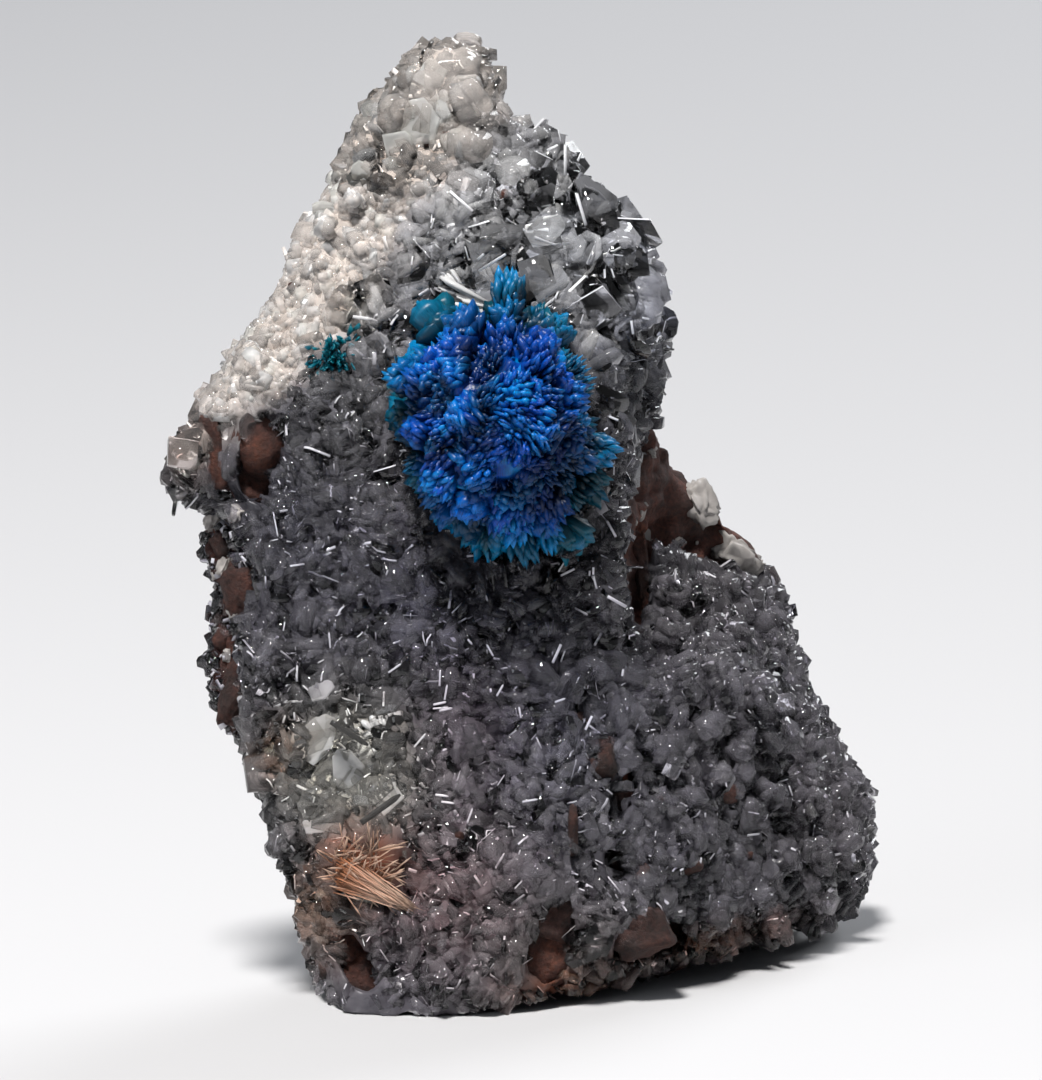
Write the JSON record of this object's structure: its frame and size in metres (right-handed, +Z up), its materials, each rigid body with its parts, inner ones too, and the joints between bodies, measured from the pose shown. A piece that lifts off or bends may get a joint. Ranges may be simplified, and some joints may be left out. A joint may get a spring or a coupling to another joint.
{
  "type": "cavansite mineral specimen",
  "caption": "Cavansite specimen: a blue rosette of radiating blades on a crust of glassy zeolite crystals over red-brown basalt, standing on its broken foot.",
  "frame": {"origin": "on the table, under the middle of the specimen's box", "axes": "+Z up, +X to the viewer's right, +Y away from the viewer, so the rosette faces -Y"},
  "size_m": [0.032, 0.024, 0.0428],
  "materials": {
    "basalt": "rough, matt, red-brown weathered basalt",
    "zeolite": "translucent, glassy crystal faces, milky grey to cream",
    "cavansite": "vitreous, translucent, royal blue to teal at the tips",
    "stilbite": "silky, peach-coloured fibres"
  },
  "bodies": {
    "root": {"basalt_matrix": "basalt", "zeolite_crust": "zeolite", "cavansite_ball": "cavansite", "cavansite_tuft": "cavansite", "stilbite_sheaf": "stilbite"}
  },
  "joints": []
}
